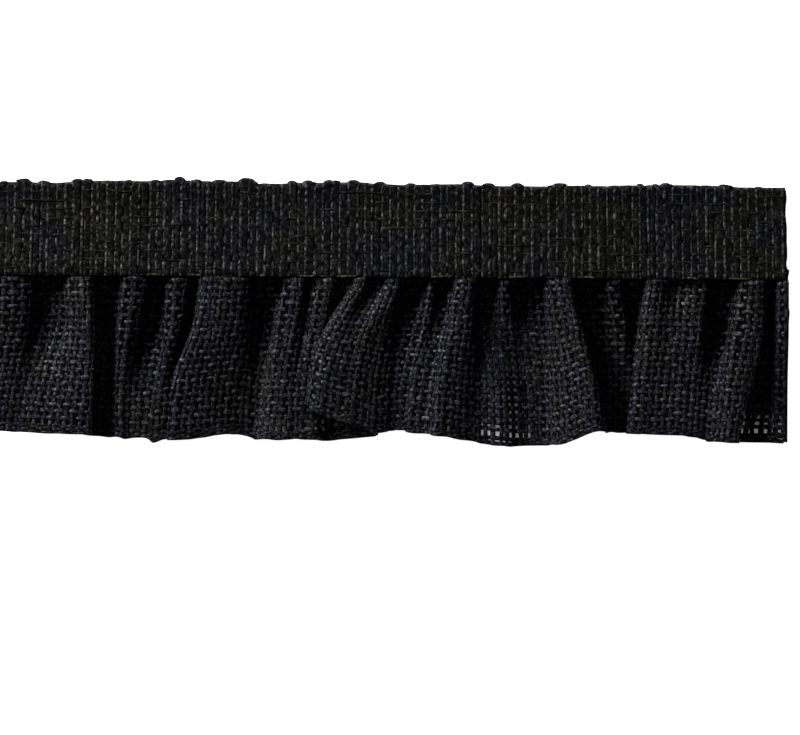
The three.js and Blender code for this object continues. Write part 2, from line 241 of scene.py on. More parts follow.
def tubes(centres, normals, widths, thicknesses, sides):
    """Closed tubes of an oval section. centres and normals are (tube, ring, xyz). Each tube's uv
    starts a little further on than the one before it."""
    tube_offset = 0.37
    count, rings, _ = centres.shape
    along = unit(np.gradient(centres, axis=1))
    across = unit(np.cross(along, normals))
    up = np.cross(across, along)
    angle = np.arange(sides) * 2 * math.pi / sides
    wide = across[:, :, None, :] * (widths / 2)[..., None, None] * np.cos(angle)[:, None]
    tall = up[:, :, None, :] * (thicknesses / 2)[..., None, None] * np.sin(angle)[:, None]
    points = (centres[:, :, None, :] + wide + tall).reshape(-1, 3)
    index = np.arange(count * rings * sides).reshape(count, rings, sides)
    turned = np.roll(index, -1, axis=2)
    walls = np.stack([index[:, :-1], index[:, 1:], turned[:, 1:], turned[:, :-1]], axis=-1)
    walls = walls.reshape(-1, 4)
    ends = np.concatenate([index[:, 0], index[:, -1, ::-1]])
    steps = np.diff(centres, axis=1, prepend=centres[:, :1])
    lengths = np.cumsum(np.linalg.norm(steps, axis=-1), axis=1)
    along_uv = np.repeat(lengths[..., None], sides, axis=2)
    along_uv = along_uv + np.arange(count)[:, None, None] * tube_offset
    round_uv = np.broadcast_to(np.arange(sides) / sides, along_uv.shape)
    uv = np.stack([along_uv, round_uv], axis=-1).reshape(-1, 2)
    return points, [walls, ends], uv


def slab_faces(top, low):
    """Faces of a closed slab between two grids of point numbers, the top one seen from above with
    its rows running toward the hem."""
    return [
        np.stack([top[:-1, :-1], top[1:, :-1], top[1:, 1:], top[:-1, 1:]], axis=-1).reshape(-1, 4),
        np.stack([low[:-1, :-1], low[:-1, 1:], low[1:, 1:], low[1:, :-1]], axis=-1).reshape(-1, 4),
        np.stack([top[0, :-1], top[0, 1:], low[0, 1:], low[0, :-1]], axis=-1),
        np.stack([top[-1, 1:], top[-1, :-1], low[-1, :-1], low[-1, 1:]], axis=-1),
        np.stack([top[1:, 0], top[:-1, 0], low[:-1, 0], low[1:, 0]], axis=-1),
        np.stack([top[:-1, -1], top[1:, -1], low[1:, -1], low[:-1, -1]], axis=-1),
    ]


def along_drop(values, fraction):
    """A smooth value through the four stations, held beyond the first."""
    values = np.asarray(values, dtype=float)
    slopes = np.gradient(values, STATIONS)
    at = np.clip(fraction, STATIONS[0], STATIONS[-1])
    i = np.clip(np.searchsorted(STATIONS, at, side="right") - 1, 0, len(STATIONS) - 2)
    span = STATIONS[i + 1] - STATIONS[i]
    t = (at - STATIONS[i]) / span
    return (values[i] * (2 * t**3 - 3 * t**2 + 1) + slopes[i] * span * (t**3 - 2 * t**2 + t)
            + values[i + 1] * (3 * t**2 - 2 * t**3) + slopes[i + 1] * span * (t**3 - t**2))


def smooth_step(value, low, high):
    t = np.clip((value - low) / (high - low), 0, 1)
    return t * t * (3 - 2 * t)


def mix(a, b, share):
    return a + (b - a) * share


def side_points(edge, outward, shoulder, lift, inner_lift, floor, room, tuck, fold_drop,
                trough_drop):
    """Five control points (x, z, drop) of one side of a fold, from its foot to its shoulder. The
    foot reaches out no further than there is room beside the next fold's foot."""
    upright = np.clip((lift - floor) / UPRIGHT_HEIGHT, 0, 1)
    reach = (
        np.minimum(FOLD_FOOT + mix(WAVE_FOOT, 0, upright), room - FOOT_GAP) - tuck,
        np.minimum(mix(WAVE_FOOT, -FOLD_BULGE, upright), ANKLE_SHARE * room) - tuck,
        -tuck / 2,
        mix(-shoulder / 2, -LEFT_EASE if outward < 0 else -RIGHT_EASE, upright),
        -shoulder,
    )
    heights = [mix(floor, lift, level) for level in LEVELS] + [inner_lift]
    return [
        (edge + outward * out, height, mix(trough_drop, fold_drop, share))
        for out, height, share in zip(reach, heights, DROP_SHARES)
    ]


def section_points(fraction):
    """Control points of the section on every row, and where along them each half fold ends."""
    points = []
    marks = [0.0]
    last = len(FOLDS) - 1
    one = np.ones_like(fraction)
    tucked = smooth_step(fraction, STATIONS[0], 1)
    floors = [along_drop(trough.height, fraction) for trough in TROUGHS]
    lefts = [along_drop(fold.left, fraction) + CLOTH_HALF for fold in FOLDS]
    rights = [along_drop(fold.right, fraction) - CLOTH_HALF + EDGE_OUT for fold in FOLDS]
    rooms = [
        (lefts[i + 1] + FOLDS[i + 1].tuck[0] * tucked - rights[i] + FOLDS[i].tuck[1] * tucked) / 2
        for i in range(last)
    ]
    for i, fold in enumerate(FOLDS):
        left, right = lefts[i], rights[i]
        left_lift = along_drop(fold.left_lift, fraction)
        right_lift = along_drop(fold.right_lift, fraction)
        share = np.minimum(SHOULDER_MOST / (right - left), SHOULDER_SHARE)
        shoulder = share * (right - left)
        if i == 0:
            points.append((left, left_lift, fold.drop[0] * one))
        else:
            points += side_points(left, -1, shoulder, left_lift, mix(left_lift, right_lift, share),
                                  floors[i - 1], rooms[i - 1], fold.tuck[0] * tucked, fold.drop[0],
                                  TROUGHS[i - 1].drop[1] * one)
        marks.append(len(points) - 0.5 if 0 < i < last else marks[-1])
        if i == last:
            points.append((right, right_lift, fold.drop[1] * one))
        else:
            points += side_points(right, 1, shoulder, right_lift, mix(right_lift, left_lift, share),
                                  floors[i], rooms[i], fold.tuck[1] * tucked, fold.drop[1],
                                  TROUGHS[i].drop[0] * one)[::-1]
            marks.append(len(points) - 0.5)
    marks.append(len(points) - 1.0)
    control = [[np.broadcast_to(value, fraction.shape) for value in point] for point in points]
    return np.array(control), sorted(set(marks))


def spline_weights(count, position):
    """Weights of a uniform cubic B-spline over its control points, ending on the first and last."""
    cell = np.minimum(position.astype(int), count - 2)
    t = position - cell
    basis = np.stack([
        1 - 3 * t + 3 * t**2 - t**3, 4 - 6 * t**2 + 3 * t**3,
        1 + 3 * t + 3 * t**2 - 3 * t**3, t**3,
    ]) / 6
    weights = np.zeros((len(position), count))
    rows = np.arange(len(position))
    for step, share in enumerate(basis):
        at = cell + step - 1
        before, after = at < 0, at > count - 1
        inside = ~(before | after)
        weights[rows[inside], at[inside]] += share[inside]
        for beyond, end in ((before, 0), (after, count - 1)):
            weights[rows[beyond], end] += 2 * share[beyond]
            weights[rows[beyond], 2 * end - at[beyond]] -= share[beyond]
    return weights


def band_rise(from_seam):
    """Height of the band's back above the surface at a distance from the seam: a slope, a bend and
    a level strip."""
    slope = BAND_RISE / ((BEND_END + BEND_START) / 2)
    bend = slope * (BEND_END - from_seam) ** 2 / (2 * (BEND_END - BEND_START))
    straight = slope * ((BEND_END + BEND_START) / 2 - from_seam)
    return np.where(from_seam >= BEND_END, 0.0, np.where(from_seam <= BEND_START, straight, bend))


class Cloth:
    """The ruffle's middle surface, sampled by its cut length u and its fraction of the drop."""

    rows = 97
    column_step = 0.08
    samples_per_control = 12

    def __init__(self):
        self.fraction = np.linspace(UNDER_BAND, 1, self.rows)
        control, marks = section_points(self.fraction)
        count = len(control)
        position = np.arange((count - 1) * self.samples_per_control + 1) / self.samples_per_control
        x, z, drop = np.einsum("pk,kvr->vrp", spline_weights(count, position), control)
        share = self.fraction[:, None]
        y = SEAM_Y - mix(SEAM_GAP, drop, share)
        z = np.maximum(z, CLOTH_HALF)
        under = band_rise(np.maximum(y - SEAM_Y, 0)) - CLOTH_HALF - BACK_GAP
        gathers = under - (GATHER_TOP - z) * GATHER_DEPTH
        z = mix(gathers, z, smooth_step(share, *LEAVES_BACK))
        z = mix(z, under, smooth_step(-share, *FLAT_ON_BACK))
        fine = np.stack([x, y, z], axis=-1)
        self.flatten(fine, [round(m * self.samples_per_control) for m in marks])

    def flatten(self, fine, marks):
        """Spreads the columns evenly along the cloth's cut length."""
        steps = np.linalg.norm(np.diff(fine, axis=1), axis=-1)
        run = np.concatenate([np.zeros((self.rows, 1)), np.cumsum(steps, axis=1)], axis=1)
        parts = np.diff(run[:, marks], axis=1)
        cut = parts[self.fraction > STATIONS[1]].mean(axis=0)
        edges = np.concatenate([[0], np.cumsum(cut)])
        self.length = edges[-1]
        self.columns = int(self.length / self.column_step) + 1
        u = np.linspace(0, self.length, self.columns)
        part = np.clip(np.searchsorted(edges, u, side="right") - 1, 0, len(cut) - 1)
        within = (u - edges[part]) / cut[part]
        grid = np.empty((self.rows, self.columns, 3))
        for r in range(self.rows):
            target = run[r, marks][part] + within * parts[r, part]
            for axis in range(3):
                grid[r, :, axis] = np.interp(target, run[r], fine[r, :, axis])
        self.points = grid
        down = np.gradient(grid, axis=0)
        along = np.gradient(grid, axis=1)
        self.normals = unit(np.cross(down, along))

    def at(self, u, fraction):
        """Points and normals at cut lengths u and fractions of the drop."""
        c = np.clip(u / self.length, 0, 1) * (self.columns - 1)
        r = np.clip((fraction - UNDER_BAND) / (1 - UNDER_BAND), 0, 1) * (self.rows - 1)
        c0 = np.minimum(c.astype(int), self.columns - 2)
        r0 = np.minimum(r.astype(int), self.rows - 2)
        cs = (c - c0)[..., None]
        rs = (r - r0)[..., None]
        found = []
        for grid in (self.points, self.normals):
            top = mix(grid[r0, c0], grid[r0, c0 + 1], cs)
            low = mix(grid[r0 + 1, c0], grid[r0 + 1, c0 + 1], cs)
            found.append(mix(top, low, rs))
        return found[0], unit(found[1])


def warp_fractions():
    """Where the warps cross the drop: evenly spread, then crowded along the hem."""
    hem_top = 1 - (HEM_YARNS - 0.5) * HEM_PITCH / USUAL_DROP
    count = int((hem_top - UNDER_BAND) * USUAL_DROP / WARP_PITCH)
    body = np.linspace(UNDER_BAND + FIRST_WARP, hem_top - WARP_PITCH / USUAL_DROP, count)
    hem = hem_top + np.arange(HEM_YARNS) * HEM_PITCH / USUAL_DROP
    return np.concatenate([body, hem])


def wander(shape, step, size):
    """Smooth random drift along the last axis, with a new value about every step samples."""
    knots = max(int(shape[-1] / step) + 2, 3)
    values = rng.normal(0, size, (*shape[:-1], knots))
    at = np.linspace(0, knots - 1, shape[-1])
    i = np.minimum(at.astype(int), knots - 2)
    t = at - i
    t = t * t * (3 - 2 * t)
    return values[..., i] * (1 - t) + values[..., i + 1] * t


def weave(cloth, weft_material, warp_material):
    """The wefts and warps of the ruffle, each kind in two pieces."""
    warps = warp_fractions()
    weft_count = int(cloth.length / WEFT_PITCH)
    wefts = (np.arange(weft_count) + 0.5) * cloth.length / weft_count
    pieces = []

    rings = (len(warps) - 1) * RINGS_PER_CROSSING + 1
    crossing = np.linspace(0, len(warps) - 1, rings)
    fraction = np.interp(crossing, np.arange(len(warps)), warps)
    stray = rng.normal(0, WEFT_STRAY, (weft_count, 1))
    u = wefts[:, None] + stray + wander((weft_count, rings), *WEFT_WANDER)
    points, normals = cloth.at(u, np.broadcast_to(fraction, u.shape))
    parity = (-1.0) ** np.arange(weft_count)[:, None]
    height = WEFT_CRIMP * parity * np.cos(math.pi * crossing)
    centres = points + normals * height[..., None]
    widths = WEFT_WIDTH * (1 + wander(u.shape, *WEFT_SWELL))
    widths = widths * mix(1, HEM_WEFT_SHARE, smooth_step(fraction, *HEM_NARROWS))
    thick = YARN_THICKNESS * (1 + wander(u.shape, *THICKNESS_SWELL))
    half = weft_count // 2
    for name, part in (("wefts_left", slice(0, half)), ("wefts_right", slice(half, None))):
        made = tubes(centres[part], normals[part], widths[part], thick[part], YARN_SIDES)
        pieces.append(mesh_object(name, made[0], made[1], weft_material, made[2]))

    rings = (weft_count - 1) * RINGS_PER_CROSSING + 1
    crossing = np.linspace(0, weft_count - 1, rings)
    u = np.interp(crossing, np.arange(weft_count), wefts)
    fraction = warps[:, None] + wander((len(warps), rings), *WARP_WANDER)
    fraction = np.minimum(fraction, 1)
    points, normals = cloth.at(np.broadcast_to(u, fraction.shape), fraction)
    parity = (-1.0) ** np.arange(len(warps))[:, None]
    height = -WARP_CRIMP * parity * np.cos(math.pi * crossing)
    centres = points + normals * height[..., None]
    hem = np.arange(len(warps))[:, None] >= len(warps) - HEM_YARNS
    widths = np.where(hem, HEM_PITCH * HEM_YARN_SPREAD, WARP_WIDTH)
    widths = widths * (1 + wander(fraction.shape, *WARP_SWELL))
    thick = YARN_THICKNESS * (1 + wander(fraction.shape, *THICKNESS_SWELL))
    body = len(warps) - HEM_YARNS
    parts = (
        ("warps_upper", slice(0, body // 2), warp_material),
        ("warps_lower", slice(body // 2, body), warp_material),
        ("hem_yarns", slice(body, None), weft_material),
    )
    for name, part, material in parts:
        made = tubes(centres[part], normals[part], widths[part], thick[part], YARN_SIDES)
        pieces.append(mesh_object(name, made[0], made[1], material, made[2]))
    return pieces


def openness(points):
    """The share of light that the painted shade sheet lets through at points of the cloth's
    surface.
    """
    x, below = points[..., 0], SEAM_Y - points[..., 1]
    found = np.zeros(x.shape)
    for left, right, start, first, last in OPEN_PANELS:
        inside = smooth_step(x, left - OPEN_BLUR, left)
        inside *= 1 - smooth_step(x, right, right + OPEN_BLUR)
        inside *= smooth_step(below, start - OPEN_BLUR, start)
        found = np.maximum(found, inside * mix(first, last, smooth_step(below, start, USUAL_DROP)))
    return found * (points[..., 2] < OPEN_BELOW)


def hole_shade_sheet(cloth, material):
    """A thin closed dark sheet in the middle of the weave: painted shade that darkens its holes."""
    rows = np.linspace(UNDER_BAND, 1 - SHADE_SHEET_SHORT_OF_HEM, SHADE_SHEET_ROWS)
    columns = int(cloth.length / SHADE_SHEET_STEP)
    columns = np.linspace(SHADE_SHEET_SHORT_OF_END, cloth.length - SHADE_SHEET_SHORT_OF_END, columns)
    u, fraction = np.meshgrid(columns, rows)
    points, normals = cloth.at(u, fraction)
    both = [(points + normals * side).reshape(-1, 3) for side in (SHADE_SHEET_HALF, -SHADE_SHEET_HALF)]
    index = np.arange(u.size).reshape(u.shape)
    low = index + u.size
    faces = slab_faces(index, low)
    piece = mesh_object("hole_shade_sheet", np.concatenate(both), faces, material)
    layer = piece.data.attributes.new("openness", "FLOAT", "POINT")
    layer.data.foreach_set("value", np.tile(openness(points).ravel(), 2).astype(np.float32))
    return piece


# Band: its width at both ends, its thickness, the height of its back at the seam, and the
# distances from the seam between which it bends from its slope to lie level
BAND_WIDTH_LEFT = 10.15
BAND_WIDTH_RIGHT = 9.88
BAND_THICKNESS = 1.3
BAND_RISE = 1.9
BEND_START = 7.1
BEND_END = 8.3

# The band's inside: its grid, the heights of its two faces above the band's back, and how far it
# stays inside the band's edges and ends
CORE_COLUMNS = 60
CORE_ROWS = 26
CORE_BACK = 0.3
CORE_FRONT = 0.95
CORE_LOW_EDGE = 0.2
CORE_HIGH_EDGE = 0.25
CORE_SHORT_OF_END = 0.1

# Ribs: round ones at every pitch and flat ones between them. Dips grow shorter within reach of
# the free edge, where they break the ribs into dots.
RIB_COUNT = 97
RIB_PITCH = 2 * TRIM_END / RIB_COUNT
RIB_WIDTH = 0.36
RIB_THICKNESS = 0.17
RIB_SHIFT = 0.08
RIB_DIP = 0.1
RIB_RINGS = 150
FLAT_RIB_WIDTH = 0.84
FLAT_RIB_THICKNESS = 0.12
FLAT_RIB_SINK = 0.05
FLAT_RIB_DIP = 0.02
FLAT_RIB_RINGS = 110
FLAT_RIB_FROM_END = 0.45
RIB_PROUD = 0.02
RIB_SLACK = 0.02
DOTTED_REACH = 3.2
LOW_EDGE_SHARE = 0.35
LONG_DIP_STEP = 4
SHORT_DIP_STEP = 2.4
SHORT_DIP_SHARE = 0.7
RIB_WANDER = (12, 0.015)
RIB_STRAY = 0.12
RIB_SWELL = (4, 0.12)
RIB_THICKNESS_SWELL = (3, 0.12)

# Yarns that run along the band: short picks on its face, and the cord in its free edge
ALONG_SHORT_OF_END = 0.05
PICK_RINGS = 640
PICK_PITCH = 0.9
PICK_FIRST = 0.8
PICK_LAST = 0.6
PICK_WIDTH = 0.2
PICK_THICKNESS = 0.05
PICK_SINK = 0.1
PICK_PROUD = 0.09
PICK_WANDER = (20, 0.06)
PICK_LIFT_STEP = 9
PICK_SWELL = (8, 0.1)
EDGE_REACH = 0.1
EDGE_CORD_RINGS = 900
EDGE_CORD_SIDES = 10
EDGE_CORD_WIDTH = 0.7
EDGE_CORD_THICKNESS = 0.95
EDGE_CORD_SWELL = (8, 0.06)

# Bumps of the free edge: place along the trim, height and half width
PICOTS = [
    (-40.2, 0.15, 0.2), (-38.1, 0.4, 0.55), (-36.0, 0.22, 0.45), (-32.4, 0.28, 0.45),
    (-31.4, 0.25, 0.35), (-26.9, 0.12, 0.2), (-24.1, 0.15, 0.3), (-21.5, 0.36, 0.35),
    (-19.7, 0.16, 0.3), (-17.3, 0.22, 0.6), (-14.3, 0.45, 0.75), (-9.6, 0.27, 0.3),
    (-7.9, 0.27, 0.4), (-5.7, 0.28, 0.35), (-5.0, 0.24, 0.3), (-3.1, 0.25, 0.45),
    (-0.2, 0.25, 0.4), (3.05, 0.14, 0.35), (9.1, 0.32, 0.45), (11.3, 0.26, 0.5),
    (14.3, 0.34, 0.45), (18.8, 0.25, 0.7), (21.9, 0.17, 0.2), (27.4, 0.2, 0.25), (29.0, 0.14, 0.2),
    (30.1, 0.25, 0.4), (36.4, 0.2, 0.5), (40.0, 0.1, 0.3),
]

# Slow drift of the free edge: place along the trim and distance outward
EDGE_DRIFT = [
    (-42.9, -0.28), (-38.0, -0.26), (-34.5, -0.3), (-32.0, -0.08), (-29.7, 0.0), (-25.5, -0.03),
    (-23.5, 0.02), (-22.5, 0.16), (-21.0, 0.12), (-19.0, 0.0), (-15.0, 0.03), (-13.5, -0.19),
    (-10.5, -0.14), (-8.6, -0.06), (-4.5, 0.04), (-2.0, 0.06), (0.0, -0.1), (2.0, -0.15),
    (6.0, -0.07), (8.0, -0.02), (10.5, -0.1), (12.5, -0.2), (17.0, -0.19), (19.0, -0.05),
    (23.0, -0.08), (27.0, 0.04), (29.5, 0.08), (33.8, 0.08), (36.0, 0.06), (37.8, -0.11),
    (42.9, -0.07),
]

# Running stitches that show on the band's lower edge, from x to x, and how their thread lies: its
# distance from the seam, its wave, its height off the band, how deep its ends sink in, and the
# share of it that lies level
STITCHES = [
    (-24.9, -23.2), (-20.5, -19.0), (-12.8, -12.3), (-8.7, -7.0), (-4.8, -2.4),
    (5.2, 7.6), (13.4, 15.6), (20.7, 22.6), (32.3, 33.5), (36.6, 39.2),
]
STITCH_RINGS = 13
THREAD_SIZE = 0.22
THREAD_PLACE = 0.13
THREAD_WAVE = 0.04
THREAD_TURN = 3
THREAD_PROUD = 0.02
THREAD_SINK = 0.4
THREAD_LEVEL_SHARE = 0.85


def band_width(x):
    drift = np.interp(x, *zip(*EDGE_DRIFT))
    return mix(BAND_WIDTH_LEFT, BAND_WIDTH_RIGHT, (x + TRIM_END) / (2 * TRIM_END)) + drift


def picot_height(x):
    return sum(height * np.exp(-((x - at) / half) ** 4) for at, height, half in PICOTS)


def band_core(material):
    """The band's inside: a slab that follows the band's bend, closed at its ends and edges."""
    end = TRIM_END - CORE_SHORT_OF_END
    x = np.linspace(-end, end, CORE_COLUMNS)
    share = np.linspace(1, 0, CORE_ROWS)
    from_seam = CORE_LOW_EDGE + share[:, None] * (band_width(x) - (CORE_LOW_EDGE + CORE_HIGH_EDGE))
    rise = band_rise(from_seam)
    y = SEAM_Y + from_seam
    front = np.stack(np.broadcast_arrays(x, y, rise + CORE_FRONT), axis=-1)
    back = np.stack(np.broadcast_arrays(x, y, rise + CORE_BACK), axis=-1)
    points = np.concatenate([front.reshape(-1, 3), back.reshape(-1, 3)])
    index = np.arange(x.size * share.size).reshape(share.size, x.size)
    return mesh_object("band_core", points, slab_faces(index, index + index.size), material)


def rib_loop(x, reach, depth, rings):
    """Centres and normals of a yarn that runs round the band's section at x."""
    width = band_width(x) + reach
    radius = (BAND_THICKNESS - depth) / 2
    half = radius - RIB_SLACK
    straight = width - 2 * radius
    total = 2 * straight + 2 * math.pi * radius
    s = np.linspace(0, total, rings) % total
    turn = math.pi * radius
    top = s < straight
    edge = (s >= straight) & (s < straight + turn)
    under = (s >= straight + turn) & (s < 2 * straight + turn)
    a = np.where(edge, (s - straight) / radius, (s - 2 * straight - turn) / radius)
    v = np.where(top, radius + s, np.where(edge, width - radius + radius * np.sin(a), 0))
    v = np.where(under, width - radius - (s - straight - turn), v)
    v = np.where(~(top | edge | under), radius - radius * np.sin(a), v)
    w = np.where(top, half, np.where(under, -half, half * np.cos(a)))
    w = np.where(~(top | edge | under), -half * np.cos(a), w)
    normal_v = np.where(top | under, 0, np.where(edge, np.sin(a), -np.sin(a)))
    normal_w = np.where(top, 1, np.where(under, -1, np.where(edge, np.cos(a), -np.cos(a))))
    low_edge = LOW_EDGE_SHARE * radius
    stretched = mix(low_edge, width, (v - radius) / (width - radius))
    v = np.where(v < radius, v * LOW_EDGE_SHARE, stretched)
    z = band_rise(v) + BAND_THICKNESS / 2 + w
    centre = np.stack([np.full(rings, x), SEAM_Y + v, z], axis=-1)
    normal = np.stack([np.zeros(rings), normal_v, normal_w], axis=-1)
    return centre, normal


def ribs(name, places, sink, width, thickness, dip, rings, material):
    """A set of yarns that wrap the band from front to back over its free edge. Each dips below the
    others here and there, more often near the free edge."""
    shape = (len(places), rings)
    centres = np.empty((*shape, 3))
    normals = np.empty_like(centres)
    long_dips = wander(shape, LONG_DIP_STEP, dip)
    short_dips = wander(shape, SHORT_DIP_STEP, SHORT_DIP_SHARE * dip)
    for i, x in enumerate(places):
        centre, normal = rib_loop(x, picot_height(x), thickness + 2 * sink, rings)
        from_edge = SEAM_Y + band_width(x) - centre[:, 1]
        lengthened = smooth_step(from_edge, 0.5 * DOTTED_REACH, DOTTED_REACH)
        rise = np.minimum(mix(short_dips[i], long_dips[i], lengthened), RIB_PROUD)
        centres[i] = centre + normal * rise[:, None]
        normals[i] = normal
    centres[..., 0] += wander(shape, *RIB_WANDER)
    stray = rng.normal(0, RIB_STRAY, (len(places), 1))
    widths = width * (1 + stray + wander(shape, *RIB_SWELL))
    thick = thickness * (1 + wander(shape, *RIB_THICKNESS_SWELL))
    points, faces, uv = tubes(centres, normals, widths, thick, YARN_SIDES)
    return mesh_object(name, points, faces, material, uv)


def picks(material):
    """Yarns that run along the band and come to its face for short lengths."""
    end = TRIM_END - ALONG_SHORT_OF_END
    x = np.linspace(-end, end, PICK_RINGS)
    out = np.arange(PICK_FIRST, BAND_WIDTH_RIGHT - PICK_LAST, PICK_PITCH)[:, None]
    shape = (len(out), x.size)
    y = SEAM_Y + out * band_width(x) / BAND_WIDTH_RIGHT + wander(shape, *PICK_WANDER)
    lift = np.clip(wander(shape, PICK_LIFT_STEP, PICK_SINK), -PICK_SINK, PICK_PROUD)
    z = band_rise(y - SEAM_Y) + BAND_THICKNESS - PICK_SINK + lift
    centres = np.stack([np.broadcast_to(x, shape), y, z], axis=-1)
    normals = np.broadcast_to(np.array([0.0, 0.0, 1.0]), centres.shape)
    widths = PICK_WIDTH * (1 + wander(shape, *PICK_SWELL))
    thick = np.full(shape, PICK_THICKNESS)
    points, faces, uv = tubes(centres, normals, widths, thick, YARN_SIDES)
    return mesh_object("picks", points, faces, material, uv)


def edge_cord(material):
    """The yarn that fills the free edge between the ribs, with the edge's low bumps."""
    end = TRIM_END - ALONG_SHORT_OF_END
    x = np.linspace(-end, end, EDGE_CORD_RINGS)
    out = band_width(x) + picot_height(x) + EDGE_REACH - EDGE_CORD_WIDTH / 2
    centres = np.stack([x, SEAM_Y + out, np.full(x.size, BAND_THICKNESS / 2)], axis=-1)[None]
    normals = np.broadcast_to(np.array([0.0, 0.0, 1.0]), centres.shape)
    widths = EDGE_CORD_WIDTH * (1 + wander((1, x.size), *EDGE_CORD_SWELL))
    thick = np.full(widths.shape, EDGE_CORD_THICKNESS)
    points, faces, uv = tubes(centres, normals, widths, thick, EDGE_CORD_SIDES)
    return mesh_object("edge_cord", points, faces, material, uv)


def seam_thread(material):
    """Short running stitches along the band's lower edge."""
    t = np.linspace(0, 1, STITCH_RINGS)
    sink = np.maximum(np.abs(2 * t - 1) - THREAD_LEVEL_SHARE, 0) / (1 - THREAD_LEVEL_SHARE)
    centres = np.empty((len(STITCHES), STITCH_RINGS, 3))
    for i, (start, end) in enumerate(STITCHES):
        y = SEAM_Y + THREAD_PLACE + THREAD_WAVE * np.sin(THREAD_TURN * t + i)
        z = band_rise(y - SEAM_Y) + BAND_THICKNESS + THREAD_PROUD - THREAD_SINK * sink
        centres[i] = np.stack([mix(start, end, t), y, z], axis=-1)
    normals = np.broadcast_to(np.array([0.0, 0.0, 1.0]), centres.shape)
    widths = np.full(centres.shape[:2], THREAD_SIZE)
    made = tubes(centres, normals, widths, widths / 2, YARN_SIDES)
    return mesh_object("seam_thread", made[0], made[1], material, made[2])


# Yarn materials: where each of the three tones stands in the noise, two hues, where they stand
# and the width of the fields over which they drift, and the noise from which the shine grows and
# at which it is full
TONE_STOPS = (0.4, 0.56, 0.7)
WARM = (1.0, 0.97, 0.85, 1)
COOL = (0.88, 0.9, 1.0, 1)
HUE_STOPS = (0.4, 0.6)
HUE_FIELD = 5.0
SHINE_RANGE = (0.45, 0.7)
YARN_ROUGHNESS = 0.4

# Relief of a yarn: the slanting waves of its twist and their share beside its fibres, the size of
# a fibre, and the relief's strength and depth
TWIST_SCALE = 5.0
TWIST_SLANT = 0.45
TWIST_DISTORTION = 1.5
TWIST_SHARE = 0.6
FIBRE_SIZE = 0.12
RELIEF_STRENGTH = 0.15
RELIEF_DEPTH = 0.03


def tone(red, green, blue):
    """A colour from its eight-bit screen values."""
    def linear(value):
        value = value / 255
        return value / 12.92 if value <= 0.04045 else ((value + 0.055) / 1.055) ** 2.4
    return (linear(red), linear(green), linear(blue), 1)


